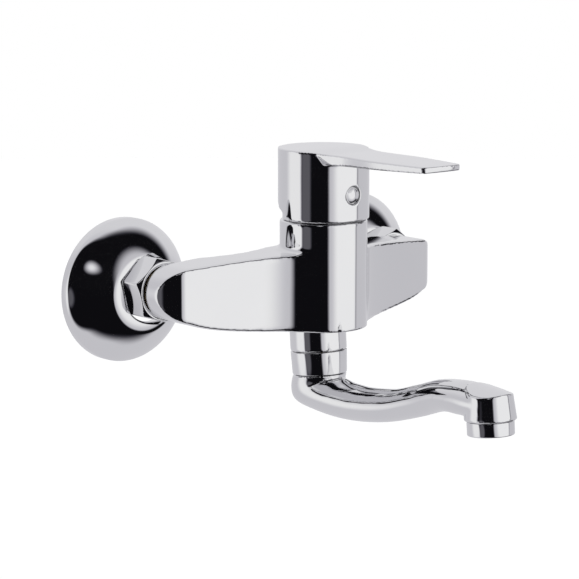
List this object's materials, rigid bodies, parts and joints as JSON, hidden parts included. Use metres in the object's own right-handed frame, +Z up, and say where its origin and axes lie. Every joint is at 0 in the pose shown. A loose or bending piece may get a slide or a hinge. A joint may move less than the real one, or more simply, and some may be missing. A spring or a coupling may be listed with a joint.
{
  "type": "wall-mounted sink mixer tap",
  "caption": "Chrome wall-mounted single-lever sink mixer: swept body on union nuts and bell flanges, lever over a ceramic cartridge, swivelling cast spout with an aerator.",
  "frame": {"origin": "on the wall's face, midway between the two supply inlets of the body, at their height", "axes": "+X right as seen from the room, +Y into the wall, +Z up"},
  "size_m": [0.222, 0.2138, 0.1337],
  "materials": {
    "chrome": "polished",
    "brass": "machined",
    "steel": "plain",
    "rubber": "matt",
    "ceramic": "lapped ceramic",
    "white_plastic": "moulded",
    "grey_plastic": "moulded",
    "fibre": "matt"
  },
  "bodies": {
    "body": {"body": "chrome", "cartridge_base": "white_plastic", "port_seal_hot": "rubber", "port_seal_cold": "rubber", "port_seal_outlet": "rubber", "fixed_ceramic_disc": "ceramic", "cartridge_housing": "white_plastic", "cartridge_nut": "brass", "cap_ring": "chrome", "outlet_nipple": "brass", "spout_nut": "chrome", "inlet_nipple_left": "brass", "inlet_washer_left": "fibre", "union_nut_left": "chrome", "eccentric_union_left": "chrome", "wall_flange_left": "chrome", "inlet_nipple_right": "brass", "inlet_washer_right": "fibre", "union_nut_right": "chrome", "eccentric_union_right": "chrome", "wall_flange_right": "chrome"},
    "rotor": {"cartridge_rotor": "grey_plastic", "spindle_pin": "steel"},
    "lever": {"lever": "chrome", "lever_insert": "grey_plastic", "lever_set_screw": "steel", "indicator_plug": "chrome", "lever_spindle": "brass"},
    "moving_disc": {"moving_ceramic_disc": "ceramic", "disc_carrier": "white_plastic"},
    "spout": {"spout": "chrome", "spout_o_ring_upper": "rubber", "spout_o_ring_lower": "rubber", "spout_slip_ring": "white_plastic", "aerator_housing": "chrome", "aerator_insert": "white_plastic", "aerator_screen": "steel", "aerator_washer": "rubber"}
  },
  "joints": [
    {"name": "lever_turn", "type": "hinge", "parent": "body", "child": "rotor", "pos_m": [0, -0.068, 0.033], "axis": [0, 0, 1], "range_deg": [-50, 50]},
    {"name": "lever_lift", "type": "hinge", "parent": "rotor", "child": "lever", "pos_m": [0, -0.068, 0.033], "axis": [-1, 0, 0], "range_deg": [0, 25]},
    {"name": "disc_slide", "type": "slide", "parent": "rotor", "child": "moving_disc", "axis": [0, -1, 0], "range_m": [0, 0.0045]},
    {"name": "spout_swivel", "type": "hinge", "parent": "body", "child": "spout", "pos_m": [0, -0.0645, -0.0341], "axis": [0, 0.0767, 0.9971], "range_deg": [-100, 100]}
  ],
  "couplings": [
    {"joint": "disc_slide", "follows": "lever_lift", "m_per_rad": 0.009686}
  ]
}
